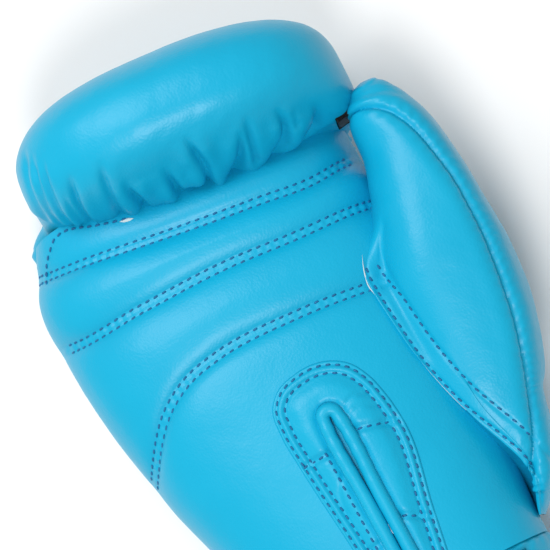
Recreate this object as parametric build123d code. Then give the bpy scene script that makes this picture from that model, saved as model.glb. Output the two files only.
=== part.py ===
"""Right-hand boxing glove lying on its back, palm up. Millimetres.

The model is laid out in a hand frame: X across the hand towards the thumb, Y along the hand
towards the knuckles, Z up out of the palm, with x = 0 on the middle line of the hand. The last
step shifts every piece so that the origin is the bottom centre of the whole glove.
"""
import os
from math import atan2, copysign, cos, degrees, pi, sin

from build123d import *

# ---- driving dimensions -------------------------------------------------------------------
KNUCKLE_Y = 153.0            # front of the fist
CUFF_END_Y = -158.0          # mouth of the cuff
CUFF_TOP_Y = -100.0          # the cuff is a straight tube from here to its mouth
CUFF_HALF_WIDTH = 56.0
CUFF_BOTTOM_Z = 3.0          # underside of the cuff
PALM_Z = 84.0                # palm side of the cuff and palm
HAND_HALF_WIDTH = 77.0       # widest part, over the middle of the palm
FIST_HALF_WIDTH = 73.5       # half the length of the finger roll, across the hand
FIST_DEPTH = 62.0            # knuckle front to the back of the finger roll
FIST_HEIGHT = 122.0          # back of the hand to the crest of the finger roll
FIST_YAW = -6.0              # the finger roll slants down towards the thumb side
THUMB_RADIUS = 29.0          # widest half width of the thumb

# ---- sheet goods --------------------------------------------------------------------------
COVER = 1.2                  # outer leather
LINING = 1.0                 # fabric of the hand pocket
PAD = 8.0                    # stitched foam pads under the palm leather
PATCH = 1.6                  # patch around the wrist slit, and the lapped edge of the thumb
ELASTIC = 1.5                # elastic webbing bridging the slit
TAPE = 1.2                   # hook tape and loop tape
BINDING = 1.2                # tape round the cuff mouth
SEAM_GAP = 2.4               # pads stop this far apart, where the leather is sewn down
TAPE_GAP = 0.3               # hooks stand this far off the loops in the model

# ---- finger roll, pockets, thumb ----------------------------------------------------------
FIST_X = 1.5
FIST_Y = KNUCKLE_Y - FIST_DEPTH / 2
FIST_Z = FIST_HEIGHT / 2
ROLL_CREST_SHARES = (-0.985, -0.93, -0.8, -0.6, -0.3, 0, 0.3, 0.6, 0.8, 0.93, 0.985)
ROLL_POWER = 2.6
RING_POINTS = 20
SPLIT_Z = 44.0               # the palm half of the glove starts at this height

# ---- wrist slit ---------------------------------------------------------------------------
SLIT_TOP_Y = -20.0
SLIT_HALF = 5.2
PIPING_RADIUS = 2.2
PIPING_CLEARANCE = 0.05
PIPING_RISE = 1.0            # middle of the beading above the palm
PATCH_HALF = 24.0
PATCH_TOP_Y = 2.0
PATCH_LOW_Y = -103.0         # the patch and its beading end beside the strap
ELASTIC_Y = (-78.0, -36.0)
ELASTIC_HALF = 15.0
ELASTIC_Z = 79.8

# ---- closure strap ------------------------------------------------------------------------
STRAP_WIDTH = 47.0
STRAP_END_MARGIN = 5.0       # cuff mouth to strap
STRAP_THICKNESS = 3.0
STRAP_ANCHOR_ANGLES = (36.0, 58.0)
STRAP_ANGLES = (58.0, 100.0, 144.0, 218.0)   # folds between the three strap panels
STRAP_JOINT_GAP = 0.35
TAPE_MARGIN = 5.0            # strap edge to tape edge
LOOP_ANGLES = (122.0, 250.0)
HOOK_ANGLES = (150.0, 215.0)

CUFF_POWER = 2.3
CUFF_Z = (CUFF_BOTTOM_Z + PALM_Z) / 2
CUFF_HALF_HEIGHT = (PALM_Z - CUFF_BOTTOM_Z) / 2
STRAP_Y = (CUFF_END_Y + STRAP_END_MARGIN, CUFF_END_Y + STRAP_END_MARGIN + STRAP_WIDTH)
STRAP_INNER = 2 * TAPE + TAPE_GAP
STRAP_OUTER = STRAP_INNER + STRAP_THICKNESS

# Station: y, middle x, half width, bottom z, top z, exponent of the section.
BODY_STATIONS = (
    (CUFF_TOP_Y, 0, CUFF_HALF_WIDTH, CUFF_BOTTOM_Z, PALM_Z, CUFF_POWER),
    (-60, -4, HAND_HALF_WIDTH - 13, 4.5, PALM_Z, 2.35),
    (-10, -9, HAND_HALF_WIDTH - 4, 1.5, PALM_Z, 2.4),
    (45, -13, HAND_HALF_WIDTH, 0, PALM_Z - 1, 2.5),
    (85, -12, HAND_HALF_WIDTH - 3, 0, PALM_Z - 3, 2.5),
    (118, -6, HAND_HALF_WIDTH - 11, 8, PALM_Z - 10, 2.4),
)
# Hand pocket: half width and half thickness in the cuff, across the palm, and at the fingertips.
POCKET_IN_CUFF = (CUFF_HALF_WIDTH - 14, CUFF_HALF_HEIGHT - 13)
POCKET_IN_PALM = (48.0, 14.0)
POCKET_AT_TIPS = (38.0, 9.5)
POCKET_FLARE_Y = (CUFF_TOP_Y, 0.0)   # it narrows from the cuff to the palm between these
POCKET_CURL_Y = 92.0                 # the fingers start to curl here
POCKET_CURL_RADIUS = 24.5
POCKET_CURL_END = 168.0              # degrees of curl
# Station: x, y, z, half width across the thumb, half depth.
THUMB_STATIONS = (
    (47, -92, 44, 12, 22),
    (53, -75, 46, THUMB_RADIUS - 9, 28),
    (61, -45, 50, THUMB_RADIUS - 4, 30),
    (69, -10, 55, THUMB_RADIUS, 31),
    (73, 22, 60, THUMB_RADIUS - 0.5, 30),
    (76.5, 52, 66, THUMB_RADIUS - 6.5, 25),
    (79, 74, 71, THUMB_RADIUS - 14, 18),
    (81, 88, 74, THUMB_RADIUS - 20, 11.5),
    (81.5, 95, 75, THUMB_RADIUS - 25, 5.5),
)
THUMB_POCKET_STATIONS = (
    (28, -28, CUFF_Z, 13, 13),
    (48, -5, 50, 13.5, 13.5),
    (65, 25, 58, 13, 13),
    (75, 52, 66, 11.5, 11.5),
    (79, 70, 70.5, 8, 8),
)
# Seam between the inner and outer covers of the thumb, at the height given.
THUMB_SEAM_Z = 85.0
THUMB_SEAM_LEAN = 0.53       # sideways per unit of height
THUMB_SEAM = (
    (48, -110), (64, -80), (75, -48), (82, -9), (86, 20), (88, 48), (84, 70), (82, 84), (81, 110),
)
TIE_AT = (67, 88, 72)        # strap between the tip of the thumb and the fist
TIE_SIZE = (26, 4, 15)


def signed_power(value, exponent):
    return copysign(abs(value) ** (2 / exponent), value)


def unit_ring(exponent):
    """Points of a unit superellipse, as (across, up) pairs."""
    turns = [2 * pi * k / RING_POINTS for k in range(RING_POINTS)]
    return [(signed_power(cos(t), exponent), signed_power(sin(t), exponent)) for t in turns]


def hand_body(inset=0.0):
    """Outer form of the hand from the cuff to the knuckles, taken in by inset."""
    faces = []
    for y, x_mid, half, low, high, exponent in BODY_STATIONS:
        z_mid = (low + high) / 2
        wide, tall = half - inset, (high - low) / 2 - inset
        ring = [(x_mid + wide * a, y, z_mid + tall * b) for a, b in unit_ring(exponent)]
        faces.append(make_face(Spline(*ring, periodic=True)))
    return loft(faces)


def finger_roll(inset=0.0):
    """Outer form of the fist: a fat block across the hand, rounded at both ends."""
    faces = []
    for share in ROLL_CREST_SHARES:
        fullness = (1 - abs(share) ** ROLL_POWER) ** (1 / ROLL_POWER)
        taken = inset * min(1, 1.3 * fullness)
        deep = FIST_DEPTH / 2 * fullness - taken
        tall = FIST_HEIGHT / 2 * fullness - taken
        x = (FIST_HALF_WIDTH - inset) * share
        ring = [(x, deep * a, tall * b) for a, b in unit_ring(2.4)]
        faces.append(make_face(Spline(*ring, periodic=True)))
    return Pos(FIST_X, FIST_Y, FIST_Z) * Rot(0, 0, FIST_YAW) * loft(faces)


def tube_between(stations, inset=0.0, exponent=2.2):
    """Loft through elliptical sections square to the line of their centres."""
    centres = [Vector(*s[:3]) for s in stations]
    faces = []
    for i, (x, y, z, wide, deep) in enumerate(stations):
        ahead = centres[min(i + 1, len(centres) - 1)] - centres[max(i - 1, 0)]
        across = Vector(ahead.Y, -ahead.X, 0).normalized()
        up = ahead.cross(across).normalized()
        up = up if up.Z > 0 else up * -1
        shrink = min(inset, 0.4 * wide)
        ring = [
            centres[i] + across * ((wide - shrink) * a) + up * ((deep - shrink) * b)
            for a, b in unit_ring(exponent)
        ]
        faces.append(make_face(Spline(*ring, periodic=True)))
    return loft(faces)


def pocket_stations():
    """Middle (y, z), heading in degrees, half width and half thickness along the hand pocket."""
    first_y, steps = CUFF_END_Y - 8, 13
    stations = []
    for k in range(steps + 1):
        y = first_y + (POCKET_CURL_Y - first_y) * k / steps
        t = (y - POCKET_FLARE_Y[0]) / (POCKET_FLARE_Y[1] - POCKET_FLARE_Y[0])
        t = min(1, max(0, t))
        t = t * t * (3 - 2 * t)
        size = [a + (b - a) * t for a, b in zip(POCKET_IN_CUFF, POCKET_IN_PALM)]
        stations.append((y, CUFF_Z, 0, *size))
    bends = 6
    for k in range(1, bends + 1):
        t = k / bends
        heading = POCKET_CURL_END * t
        y = POCKET_CURL_Y + POCKET_CURL_RADIUS * sin(heading * pi / 180)
        z = CUFF_Z + POCKET_CURL_RADIUS * (1 - cos(heading * pi / 180))
        size = [a + (b - a) * t for a, b in zip(POCKET_IN_PALM, POCKET_AT_TIPS)]
        stations.append((y, z, heading, *size))
    return stations


def hand_pocket(inset=0.0):
    """The space for the palm and the curled fingers."""
    faces = []
    stations = pocket_stations()
    for number, (y, z, heading, wide, thick) in enumerate(stations):
        turn = heading * pi / 180
        back = inset if number == len(stations) - 1 else 0
        ring = [
            (
                (wide - inset) * a,
                y - back * cos(turn) - (thick - inset) * b * sin(turn),
                z - back * sin(turn) + (thick - inset) * b * cos(turn),
            )
            for a, b in unit_ring(2.6)
        ]
        faces.append(make_face(Spline(*ring, periodic=True)))
    return loft(faces)


def plan_prism(outline, low=SPLIT_Z, high=FIST_HEIGHT + 20):
    """A plan outline pulled up from one height to another."""
    face = make_face(Polyline(*outline, close=True))
    return Pos(0, 0, low) * extrude(face, high - low)


def cuff_outline(offset):
    ring = [
        ((CUFF_HALF_WIDTH + offset) * a, (CUFF_HALF_HEIGHT + offset) * b)
        for a, b in unit_ring(CUFF_POWER)
    ]
    return make_face(Spline(*ring, periodic=True))


def cuff_tube(inner, outer, y_range):
    """A band round the cuff, between two offsets from its surface."""
    length = y_range[1] - y_range[0]
    band = extrude(cuff_outline(outer), length)
    if inner is not None:
        band -= extrude(cuff_outline(inner), length)
    return Pos(0, y_range[1], CUFF_Z) * Rot(90, 0, 0) * band


def cuff_radius(angle, offset):
    """Distance from the cuff's middle to its offset surface, at a polar angle in degrees."""
    a, b = CUFF_HALF_WIDTH + offset, CUFF_HALF_HEIGHT + offset
    t = angle * pi / 180
    total = (abs(cos(t)) / a) ** CUFF_POWER + (abs(sin(t)) / b) ** CUFF_POWER
    return total ** (-1 / CUFF_POWER)


def cuff_point(angle, offset):
    radius, t = cuff_radius(angle, offset), angle * pi / 180
    return radius * cos(t), CUFF_Z + radius * sin(t)


def cuff_sector(start, end, gap=0.0):
    """A wedge about the cuff's middle line, from one polar angle to another."""
    reach = 3 * CUFF_HALF_WIDTH
    trim = degrees(atan2(gap / 2, CUFF_HALF_HEIGHT))
    low, high = start + trim, end - trim
    steps = 6
    fan = [low + (high - low) * k / steps for k in range(steps + 1)]
    points = [(0, 0)] + [(reach * cos(t * pi / 180), reach * sin(t * pi / 180)) for t in fan]
    face = make_face(Polyline(*points, close=True))
    depth = 2 * (KNUCKLE_Y - CUFF_END_Y)
    return Pos(0, depth / 2, CUFF_Z) * Rot(90, 0, 0) * extrude(face, depth)


def slit_cut(extra=0.0):
    """The slot that opens the palm side of the wrist down to the cuff mouth."""
    half = SLIT_HALF + extra
    deep = FIST_HEIGHT
    slot = Box(2 * half, SLIT_TOP_Y - CUFF_END_Y + 10, deep)
    slot = Pos(0, (SLIT_TOP_Y + CUFF_END_Y - 10) / 2, SPLIT_Z + deep / 2) * slot
    end = Pos(0, SLIT_TOP_Y, SPLIT_Z + deep / 2) * Cylinder(half, deep)
    return slot + end


def slit_piping():
    """Leather beading round the slot: two runs joined by a turn at the top."""
    x = SLIT_HALF - PIPING_RADIUS - PIPING_CLEARANCE
    z = PALM_Z + PIPING_RISE
    low_y = PATCH_LOW_Y + 0.5
    path = (
        Line((-x, low_y, z), (-x, SLIT_TOP_Y, z))
        + RadiusArc((-x, SLIT_TOP_Y, z), (x, SLIT_TOP_Y, z), x)
        + Line((x, SLIT_TOP_Y, z), (x, low_y, z))
    )
    profile = Plane(origin=(-x, low_y, z), z_dir=(0, 1, 0)) * Circle(PIPING_RADIUS)
    return sweep(profile, path=path)


PALM_OUTLINE = (
    (-HAND_HALF_WIDTH - 30, CUFF_TOP_Y), (-HAND_HALF_WIDTH - 30, 104), (-50, 112), (64, 98),
    (70, 60), (70, CUFF_TOP_Y),
)
# Sewn lines across the palm, from the little finger side to the thumb side.
SEAM_FINGER = ((-100, 84), (-11, 77), (58, 69.5), (100, 66))
SEAM_GRIP = ((-100, 55), (-12, 57), (50, 49), (100, 44))
SEAM_HEEL = ((-100, -22), (-62, 12), (-31, 24), (7, 23), (37, 19), (100, 12))
THUMB_LAP = ((51, 38), (40, 20), (36, 3), (42, -32), (52, -65), (60, -86), (85, -86), (85, 38))


def band_between(lower, upper):
    """Plan area between two sewn lines, clear of both by half the seam gap."""
    half = SEAM_GAP / 2
    return [(x, y + half) for x, y in lower] + [(x, y - half) for x, y in reversed(upper)]


def patch_outline(inset=0.0):
    """The arched patch round the slit."""
    half = PATCH_HALF - inset
    middle = PATCH_TOP_Y - PATCH_HALF
    turns = [pi * k / 16 for k in range(17)]
    arch = [(half * cos(t), middle + half * sin(t)) for t in turns]
    foot = half - 7
    return arch + [(-foot, PATCH_LOW_Y), (foot, PATCH_LOW_Y)]


def one(shape):
    """A cut that leaves several solids comes back as a list, so gather it into one shape."""
    return Compound(children=list(shape)) if isinstance(shape, list) else shape


def thumb_split():
    """Everything on the outer side of the thumb's long seam."""
    foot = THUMB_SEAM_Z * THUMB_SEAM_LEAN
    outline = [(x - foot, y) for x, y in THUMB_SEAM] + [(200, 110), (200, -110)]
    face = make_face(Polyline(*outline, close=True))
    return extrude(face, 2 * FIST_HEIGHT, dir=(THUMB_SEAM_LEAN, 0, 1))


def make_parts():
    body, body_in = hand_body(), hand_body(COVER)
    roll, roll_in = finger_roll(), finger_roll(COVER)
    under_pads = hand_body(COVER + PAD)
    lap_top = hand_body(-PATCH)
    hand_space, hand_space_in = hand_pocket(), hand_pocket(LINING)
    thumb_space = tube_between(THUMB_POCKET_STATIONS)
    thumb_space_in = tube_between(THUMB_POCKET_STATIONS, LINING)
    slit = slit_cut()
    column = plan_prism(PALM_OUTLINE)
    parts = {}

    # Hand: two covers, foam behind them, stitched pads under the palm cover.
    back = ((body - column) + roll) - ((body_in - column) + roll_in)
    parts["back_cover"] = back - hand_space - thumb_space
    parts["palm_cover"] = ((body - body_in) & column) - roll - slit - thumb_space
    parts["fist_foam"] = ((body_in - column) + roll_in) - hand_space - thumb_space
    backing = (under_pads & column) - roll - slit
    parts["palm_backing_foam"] = backing - hand_space - thumb_space

    elastic_mid = (ELASTIC_Y[0] + ELASTIC_Y[1]) / 2
    elastic = Box(2 * ELASTIC_HALF, ELASTIC_Y[1] - ELASTIC_Y[0], ELASTIC)
    elastic = Pos(0, elastic_mid, ELASTIC_Z + ELASTIC / 2) * elastic
    pads = (body_in - under_pads) - roll - slit - thumb_space
    finger_zone = plan_prism(band_between(SEAM_FINGER, ((-100, 125), (100, 125)))) & column
    parts["finger_pad"] = pads & finger_zone
    parts["grip_bar"] = pads & plan_prism(band_between(SEAM_GRIP, SEAM_FINGER))
    parts["centre_pad"] = pads & plan_prism(band_between(SEAM_HEEL, SEAM_GRIP))
    heel_zone = plan_prism(band_between(((-100, CUFF_TOP_Y - 9), (100, CUFF_TOP_Y - 9)), SEAM_HEEL))
    parts["heel_pad"] = (pads & heel_zone) - plan_prism(patch_outline(-SEAM_GAP / 2))
    parts["slit_pads"] = (pads & plan_prism(patch_outline(1.0))) - elastic
    parts["slit_elastic"] = elastic
    patch_layer = lap_top - body
    parts["slit_patch"] = (patch_layer & plan_prism(patch_outline())) - slit
    parts["slit_piping"] = slit_piping()

    # The thumb is sewn on over the hand, so it stops at the hand's surface.
    thumb, thumb_in = tube_between(THUMB_STATIONS), tube_between(THUMB_STATIONS, COVER)
    outer = thumb_split()
    thumb_shell = thumb - thumb_in - body
    lap = (patch_layer & plan_prism(THUMB_LAP)) - thumb
    parts["thumb_inner_cover"] = (thumb_shell - outer) + lap
    parts["thumb_outer_cover"] = thumb_shell & outer
    parts["thumb_foam"] = thumb_in - body - thumb_space
    parts["thumb_tie"] = (Pos(*TIE_AT) * Box(*TIE_SIZE)) - thumb - roll
    pocket = hand_space + thumb_space
    lining = one(pocket - (hand_space_in + thumb_space_in))
    behind = Pos(0, CUFF_END_Y - 100, 0) * Box(400, 200, 400)
    parts["pocket_lining"] = one(lining - slit) - behind

    # The cuff is a padded band sewn to the hand, bound with tape round its mouth.
    cuff_y = (CUFF_END_Y, CUFF_TOP_Y)
    parts["cuff_cover"] = cuff_tube(-COVER, 0, cuff_y) - slit
    core = cuff_tube(None, -COVER, cuff_y) - slit - hand_space
    palm_side = Pos(0, 0, SPLIT_Z + 100) * Box(400, 800, 200)
    thumb_side = Pos(100, 0, 0) * Box(200, 800, 400)
    parts["cuff_back_pad"] = core - palm_side
    parts["cuff_pad_thumb_side"] = core & palm_side & thumb_side
    parts["cuff_pad_little_finger_side"] = (core & palm_side) - thumb_side
    lip = cuff_tube(None, BINDING, (CUFF_END_Y - BINDING, CUFF_END_Y + 3)) - slit
    parts["cuff_binding"] = lip - cuff_tube(None, 0, cuff_y) - hand_space_in

    # Hook-and-loop closure.
    tape_y = (STRAP_Y[0] + TAPE_MARGIN, STRAP_Y[1] - TAPE_MARGIN)
    parts["loop_tape"] = cuff_tube(0, TAPE, tape_y) & cuff_sector(*LOOP_ANGLES)
    hook = cuff_tube(STRAP_INNER - TAPE, STRAP_INNER, tape_y)
    parts["hook_tape"] = hook & cuff_sector(*HOOK_ANGLES)
    parts["strap_anchor"] = cuff_tube(0, STRAP_OUTER, STRAP_Y) & cuff_sector(*STRAP_ANCHOR_ANGLES)
    band = cuff_tube(STRAP_INNER, STRAP_OUTER, STRAP_Y)
    for number, (start, end) in enumerate(zip(STRAP_ANGLES, STRAP_ANGLES[1:]), 1):
        parts[f"strap_panel_{number}"] = band & cuff_sector(start, end, STRAP_JOINT_GAP)
    return {name: one(part) for name, part in parts.items()}


def main():
    parts = make_parts()
    boxes = [part.bounding_box() for part in parts.values()]
    low = Vector(*(min(tuple(b.min)[i] for b in boxes) for i in range(3)))
    high = Vector(*(max(tuple(b.max)[i] for b in boxes) for i in range(3)))
    shift = Pos(-(low.X + high.X) / 2, -(low.Y + high.Y) / 2, -low.Z)
    os.makedirs("parts", exist_ok=True)
    for name, part in parts.items():
        export_step(shift * part, f"parts/{name}.step")
    offset = shift.position
    print("size", tuple(round(v, 2) for v in high - low), "shift", tuple(round(v, 3) for v in offset))
    for number, angle in enumerate(STRAP_ANGLES[:-1], 1):
        x, z = cuff_point(angle, STRAP_OUTER)
        y = sum(STRAP_Y) / 2
        place = [round(v, 3) for v in (x + offset.X, y + offset.Y, z + offset.Z)]
        print("hinge", number, place)


main()
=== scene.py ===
import bpy
import numpy as np
from mathutils import Matrix, Vector
from mathutils.bvhtree import BVHTree


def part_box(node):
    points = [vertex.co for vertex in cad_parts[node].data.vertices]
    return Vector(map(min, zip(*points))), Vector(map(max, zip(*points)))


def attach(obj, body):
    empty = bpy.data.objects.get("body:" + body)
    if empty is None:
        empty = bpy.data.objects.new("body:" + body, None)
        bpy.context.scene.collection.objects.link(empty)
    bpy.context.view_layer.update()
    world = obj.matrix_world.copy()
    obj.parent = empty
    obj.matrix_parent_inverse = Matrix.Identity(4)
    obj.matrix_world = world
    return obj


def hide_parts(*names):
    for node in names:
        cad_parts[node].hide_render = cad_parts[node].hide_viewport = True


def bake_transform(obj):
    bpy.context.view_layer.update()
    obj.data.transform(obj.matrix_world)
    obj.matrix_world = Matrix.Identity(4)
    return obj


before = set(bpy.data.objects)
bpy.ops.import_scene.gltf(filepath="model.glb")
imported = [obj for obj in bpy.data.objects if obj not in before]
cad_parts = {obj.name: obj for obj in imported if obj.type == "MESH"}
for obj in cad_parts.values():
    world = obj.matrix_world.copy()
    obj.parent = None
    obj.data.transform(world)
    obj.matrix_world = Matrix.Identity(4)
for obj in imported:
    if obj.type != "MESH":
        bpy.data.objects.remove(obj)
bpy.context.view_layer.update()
bpy.ops.object.select_all(action="DESELECT")

# ---- Camera ---------------------------------------------------------------------------------
# Looks down on the palm from the cuff side, turned so that the fist lies to the upper left.
elastic_low, elastic_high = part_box("slit_elastic")
cuff_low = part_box("cuff_cover")[0]
# The glove's own drawing has x = 0 on the middle line, y = -158 at the cuff mouth and
# z = 79.8 under the elastic, in millimetres.
ORIGIN = np.array([
    (elastic_low.x + elastic_high.x) / 2,
    cuff_low.y + 0.158,
    elastic_low.z - 0.0798,
])


def metres(points):
    """Millimetres in the glove's drawing to metres in the frame."""
    return np.asarray(points, float) * 0.001 + ORIGIN


LOOK_AT = Vector(metres((6.4, 42.8, 80.0)))
TILT, TURN, DISTANCE, LENS = np.radians(11.0), np.radians(28.0), 1.10, 172.0
away = Vector((0.0, -np.sin(TILT), np.cos(TILT)))
camera_data = bpy.data.cameras.new("camera")
camera_data.lens = LENS
camera = bpy.data.objects.new("camera", camera_data)
bpy.context.scene.collection.objects.link(camera)
ahead = -away
top = Vector((np.sin(TURN), np.cos(TURN), 0.0))
right = ahead.cross(top).normalized()
top = right.cross(ahead).normalized()
turn = np.array([right, top, -ahead]).T
place = LOOK_AT + away * DISTANCE
camera.matrix_world = Matrix([[*map(float, turn[i]), place[i]] for i in range(3)] + [[0, 0, 0, 1]])
bpy.context.scene.camera = camera

# ---- Studio: white table and soft lights ------------------------------------------------------
# A big matt white sweep, a broad soft light at the upper left and a smaller one overhead.
bpy.ops.mesh.primitive_grid_add(x_subdivisions=40, y_subdivisions=40, size=6, location=(0, 0, -0.0005))
floor = bpy.context.object
floor.name = "floor"
floor_white = bpy.data.materials.new("white_table")
floor_white.use_nodes = True
shader = floor_white.node_tree.nodes["Principled BSDF"]
shader.inputs["Base Color"].default_value = (0.94, 0.935, 0.93, 1)
shader.inputs["Roughness"].default_value = 0.8
shader.inputs["Specular IOR Level"].default_value = 0.2
floor.data.materials.append(floor_white)
world = bpy.data.worlds.new("studio")
bpy.context.scene.world = world
world.use_nodes = True
world.node_tree.nodes["Background"].inputs["Color"].default_value = (1.0, 0.995, 0.985, 1)
world.node_tree.nodes["Background"].inputs["Strength"].default_value = 0.42
for name, place, size, power in (
    ("left_softbox", (-0.38, 0.55, 1.15), 0.8, 9.5),
    ("overhead_softbox", (-0.20, -0.50, 1.15), 0.34, 6.5),
):
    lamp_data = bpy.data.lights.new(name, "AREA")
    lamp_data.shape, lamp_data.size, lamp_data.energy = "DISK", size, power
    lamp = bpy.data.objects.new(name, lamp_data)
    bpy.context.scene.collection.objects.link(lamp)
    lamp.location = place
    lamp.rotation_euler = (Vector((0, 0.03, 0.05)) - Vector(place)).to_track_quat("-Z", "Y").to_euler()

# ---- Palm cover -------------------------------------------------------------------------------
# One leather panel over foam, sewn down along three double-stitched lines so that it stands up
# in soft bars between them. It tucks under the finger roll and turns down both sides.

# Outer form of the hand: y, middle x, half width, bottom, top, roundness of the section.
HAND = np.array([
    (-158, 0, 56, 3.0, 84, 2.3), (-130, 0, 56, 3.0, 84, 2.3), (-100, 0, 56, 3.0, 84, 2.3),
    (-60, -4, 64, 4.5, 84, 2.35), (-10, -9, 73, 1.5, 84, 2.4), (45, -13, 77, 0, 83, 2.5),
    (85, -13.5, 76.5, 0, 81, 2.5), (118, -7, 68.5, 8, 74, 2.4),
])
SEAM_ROWS = 1.7            # each stitched line is two rows, this far either side of it
PITCH = 4.0                # from one stitch to the next
FINGER_SEAM = np.array([
    (-100, 103), (-80, 93.5), (-60, 88), (-31, 81.6), (14, 74.6), (40, 72.2), (58, 75), (100, 78),
], float)
GRIP_SEAM = np.array([
    (-100, 66), (-83, 59.5), (-50, 57.5), (-12, 56.5), (25, 53.5), (54, 53.5), (100, 52),
], float)
HEEL_SEAM = np.array([
    (-100, -26), (-85, -11), (-73, 3), (-61, 14), (-47, 21), (-31, 24), (7, 23.3), (37, 20.5), (60, 18),
], float)


def eased(table, at):
    """Smooth curve through a table's columns, first column against the rest."""
    xs, vs = table[:, 0], table[:, 1:]
    slopes = np.gradient(vs, xs, axis=0)
    at = np.clip(at, xs[0], xs[-1])
    i = np.clip(np.searchsorted(xs, at) - 1, 0, len(xs) - 2)
    h = (xs[i + 1] - xs[i])[..., None]
    t = ((at - xs[i]) / h[..., 0])[..., None]
    return (
        vs[i] * (2 * t**3 - 3 * t**2 + 1) + slopes[i] * h * (t**3 - 2 * t**2 + t)
        + vs[i + 1] * (3 * t**2 - 2 * t**3) + slopes[i + 1] * h * (t**3 - t**2)
    )


def rounded(value, power):
    return np.sign(value) * np.abs(value) ** (2 / power)


def hand_skin(turn, y, inset=0.0):
    """Point on the hand's outer form at a turn round its section and a place along it."""
    mid, half, low, high, power = np.moveaxis(eased(HAND, y), -1, 0)
    x = mid + (half - inset) * rounded(np.cos(turn), power)
    z = (low + high) / 2 + ((high - low) / 2 - inset) * rounded(np.sin(turn), power)
    return np.stack([x, y + 0 * turn, z], -1)


def turn_at(x, y):
    """The turn on the palm side where the section is at x."""
    mid, half, low, high, power = np.moveaxis(eased(HAND, y), -1, 0)
    c = np.clip((x - mid) / half, -1, 1)
    return np.arccos(np.sign(c) * np.abs(c) ** (power / 2))


def to_line(x, y, line):
    """Distance to a line in plan, and how far along it the nearest point is."""
    best = np.full(np.shape(x), 1e9)
    along = np.zeros(np.shape(x))
    side = np.ones(np.shape(x))
    run = 0.0
    for (ax, ay), (bx, by) in zip(line, line[1:]):
        dx, dy = bx - ax, by - ay
        length = np.hypot(dx, dy)
        t = np.clip(((x - ax) * dx + (y - ay) * dy) / length**2, 0, 1)
        gap = np.hypot(x - ax - t * dx, y - ay - t * dy)
        better = gap < best
        along = np.where(better, run + t * length, along)
        side = np.where(better, np.sign((x - ax) * dy - (y - ay) * dx), side)
        best = np.minimum(best, gap)
        run += length
    return best * np.where(side == 0, 1, side), along


def bent(line, step=4.0):
    """The same line with its corners eased and a point every few millimetres."""
    line = np.asarray(line, float)
    run = np.concatenate([[0], np.cumsum(np.hypot(*np.diff(line, axis=0).T))])
    at = np.linspace(0, run[-1], max(2, int(run[-1] / step)))
    return eased(np.column_stack([run, line]), at)


def soft_noise(x, y, scale, seed):
    """Slow uneven swell, about -1 to 1."""
    rng = np.random.default_rng(seed)
    total = 0
    for octave in range(4):
        for _ in range(3):
            direction, phase = rng.uniform(0, np.pi), rng.uniform(0, 6.28)
            wave = (x * np.cos(direction) + y * np.sin(direction)) * 2**octave / scale
            total = total + np.sin(wave * 6.28 + phase) / 2**octave / 3
    return total / 1.4


SEAMS = [bent(FINGER_SEAM), bent(GRIP_SEAM), bent(HEEL_SEAM)]


def palm_swell(x, y, turn):
    """How far the sewn and padded palm stands off the plain form."""
    nearest = np.full(np.shape(x), 1e9)
    rows, run_along = np.zeros(np.shape(x)), np.zeros(np.shape(x))
    for line in SEAMS:
        gap, along = to_line(x, y, line)
        run_along = np.where(np.abs(gap) < nearest, along, run_along)
        nearest = np.minimum(nearest, np.abs(gap))
        for row in (-SEAM_ROWS, SEAM_ROWS):
            rows += np.exp(-(((gap - row) / 0.75) ** 2))
    bars = 1.8 + 0.6 * np.tanh((y - 22) / 10)
    swell = bars * (1 - np.exp(-((nearest / 9.0) ** 2))) - 1.7 * np.exp(-((nearest / 3.8) ** 2)) - 0.45 * rows
    swell = swell + 0.28 * np.exp(-((nearest / 1.0) ** 2)) * (1 + np.cos(6.283 * run_along / PITCH))
    swell = swell * np.clip((np.sin(turn) - 0.02) / 0.45, 0.12, 1)
    dip = 1.5 + 7.0 * np.clip((x + 45) / 60, 0, 1)
    swell = swell - dip * np.exp(-(((y - 104) / 15) ** 2)) * np.clip((np.sin(turn) - 0.3) / 0.5, 0, 1)
    return swell + 0.35 * soft_noise(x, y, 70, 3) * (1 - np.exp(-((nearest / 8.0) ** 2)))


def palm_at(x, y, lift=0.0):
    """Point on the finished palm, and the direction that faces out of it."""
    x, y = np.asarray(x, float), np.asarray(y, float)
    t = turn_at(x, y)
    p = hand_skin(t, y)
    e = 0.02
    du = hand_skin(t + e, y) - hand_skin(t - e, y)
    dv = hand_skin(t, y + 0.5) - hand_skin(t, y - 0.5)
    out = np.cross(dv, du)
    out /= np.linalg.norm(out, axis=-1, keepdims=True) + 1e-9
    out *= np.where(out[..., 2:] < 0, -1, 1)
    return p + out * (palm_swell(x, y, t) + lift)[..., None], out


def sheet_mesh(name, grid, closed_v=False):
    """A mesh from a grid of points in millimetres."""
    rows, cols = grid.shape[:2]
    index = np.arange(rows * cols).reshape(rows, cols)
    if closed_v:
        index = np.concatenate([index, index[:, :1]], axis=1)
    quads = np.stack([index[:-1, :-1], index[1:, :-1], index[1:, 1:], index[:-1, 1:]], -1).reshape(-1, 4)
    mesh = bpy.data.meshes.new(name)
    mesh.from_pydata(metres(grid.reshape(-1, 3)).tolist(), [], quads.tolist())
    piece = bpy.data.objects.new(name, mesh)
    bpy.context.scene.collection.objects.link(piece)
    mesh.polygons.foreach_set("use_smooth", [True] * len(quads))
    return piece


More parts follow.
